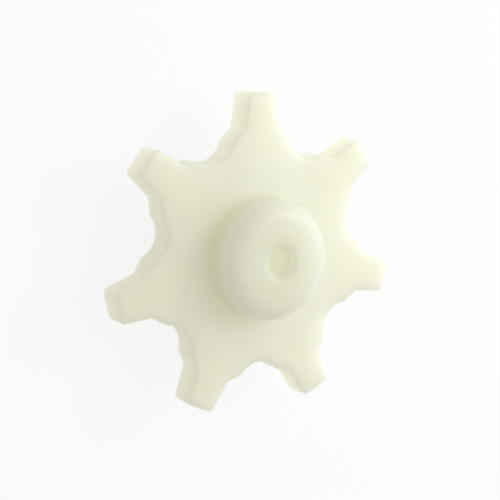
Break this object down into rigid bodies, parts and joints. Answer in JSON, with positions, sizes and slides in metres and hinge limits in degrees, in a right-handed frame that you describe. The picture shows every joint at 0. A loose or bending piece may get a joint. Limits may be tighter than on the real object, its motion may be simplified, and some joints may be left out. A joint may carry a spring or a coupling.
{
  "type": "conveyor chain sprocket",
  "caption": "Moulded plastic chain sprocket blank: stepped teeth with round seats between them on a flat plate, and a solid round hub on each face to be bored for a shaft.",
  "frame": {"origin": "centre of the rear hub's flat face, on the sprocket's axis", "axes": "+Z along the sprocket's axis from the rear hub to the front hub with the recess, +Y through the middle of one tooth"},
  "size_m": [0.1384, 0.1353, 0.0447],
  "materials": {
    "natural_polyamide": "satin as moulded, unpigmented and slightly translucent"
  },
  "bodies": {
    "root": {"sprocket": "natural_polyamide"}
  },
  "joints": []
}
